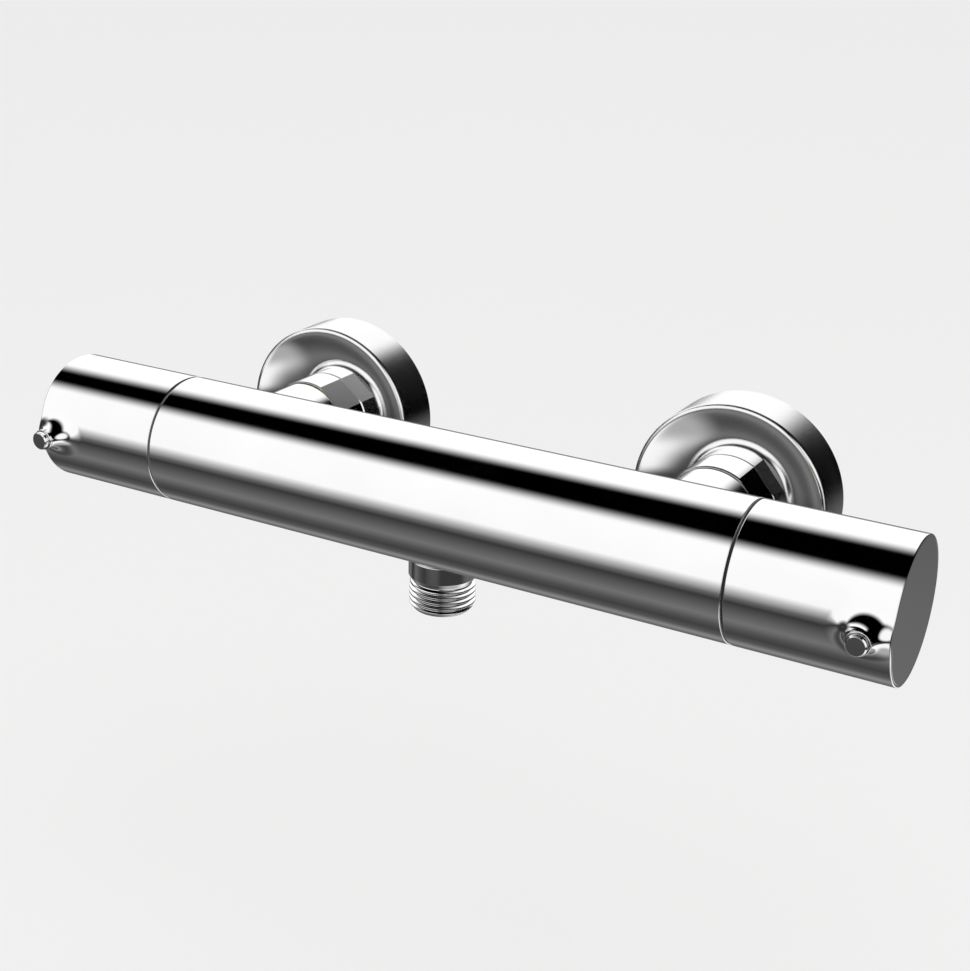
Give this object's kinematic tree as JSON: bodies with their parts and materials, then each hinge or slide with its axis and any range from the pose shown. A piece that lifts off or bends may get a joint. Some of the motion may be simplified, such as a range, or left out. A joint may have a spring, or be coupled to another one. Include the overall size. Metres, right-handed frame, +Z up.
{
  "type": "thermostatic shower valve",
  "caption": "Exposed thermostatic shower valve: round bar with flow and temperature handles, lever pins, wall rosettes with eccentric unions, and a threaded outlet below.",
  "frame": {"origin": "on the wall plane, midway between the middles of the two inlets", "axes": "+X along the bar towards the temperature handle, +Y into the wall, +Z up"},
  "size_m": [0.294, 0.1067, 0.068],
  "materials": {
    "chrome": "polished chrome plating on brass",
    "brass": "turned brass",
    "copper": "drawn copper shell",
    "spring_steel": "stainless steel",
    "screw_steel": "zinc plated steel",
    "seal_rubber": "black rubber",
    "black_plastic": "black moulded plastic",
    "white_plastic": "white moulded plastic",
    "ceramic": "ground white ceramic"
  },
  "bodies": {
    "valve": {"valve_body": "chrome", "outlet_nipple": "chrome", "outlet_o_ring": "seal_rubber", "glide_ring_flow": "black_plastic", "glide_ring_temperature": "black_plastic", "inlet_nipple_hot": "brass", "inlet_nipple_cold": "brass", "check_housing_hot": "white_plastic", "check_housing_cold": "white_plastic", "check_spring_hot": "spring_steel", "check_spring_cold": "spring_steel", "filter_washer_hot": "seal_rubber", "filter_washer_cold": "seal_rubber", "strainer_hot": "spring_steel", "strainer_cold": "spring_steel", "union_nut_hot": "chrome", "union_nut_cold": "chrome", "eccentric_union_hot": "brass", "eccentric_union_cold": "brass", "rosette_hot": "chrome", "rosette_cold": "chrome", "headwork_housing": "brass", "headwork_o_ring": "seal_rubber", "headwork_seal": "seal_rubber", "fixed_disc": "ceramic", "flow_stop_ring": "white_plastic", "thermostat_housing": "brass", "thermostat_o_rings": "seal_rubber", "temperature_stop_ring": "white_plastic", "return_spring": "spring_steel"},
    "flow_control": {"moving_disc": "ceramic", "flow_spindle": "brass", "flow_spindle_o_rings": "seal_rubber", "flow_circlip": "spring_steel", "flow_adapter": "white_plastic", "flow_handle": "chrome", "flow_lever_pin": "chrome", "flow_screw": "screw_steel", "flow_end_cap": "chrome"},
    "temperature_control": {"temperature_spindle": "brass", "temperature_spindle_o_rings": "seal_rubber", "temperature_circlip": "spring_steel", "temperature_adapter": "white_plastic", "temperature_handle": "chrome", "temperature_lever_pin": "chrome", "temperature_screw": "screw_steel", "temperature_end_cap": "chrome"},
    "regulator": {"regulator_nut": "brass", "wax_element": "copper", "shuttle": "black_plastic"},
    "hot_check": {"check_poppet_hot": "white_plastic"},
    "cold_check": {"check_poppet_cold": "white_plastic"}
  },
  "joints": [
    {"name": "flow_turn", "type": "hinge", "parent": "valve", "child": "flow_control", "pos_m": [0, -0.062, 0], "axis": [-1, 0, 0], "range_deg": [0, 90]},
    {"name": "temperature_turn", "type": "hinge", "parent": "valve", "child": "temperature_control", "pos_m": [0, -0.062, 0], "axis": [1, 0, 0], "range_deg": [-180, 90]},
    {"name": "regulator_slide", "type": "slide", "parent": "valve", "child": "regulator", "axis": [1, 0, 0], "range_m": [-0.001, 0.0005], "deforming": ["return_spring"]},
    {"name": "hot_check_lift", "type": "slide", "parent": "valve", "child": "hot_check", "axis": [0, -1, 0], "range_m": [0, 0.0025], "stiffness_N_per_m": 60, "springref_m": -0.003, "deforming": ["check_spring_hot"]},
    {"name": "cold_check_lift", "type": "slide", "parent": "valve", "child": "cold_check", "axis": [0, -1, 0], "range_m": [0, 0.0025], "stiffness_N_per_m": 60, "springref_m": -0.003, "deforming": ["check_spring_cold"]}
  ],
  "couplings": [
    {"joint": "regulator_slide", "follows": "temperature_turn", "m_per_rad": 0.0003183}
  ]
}
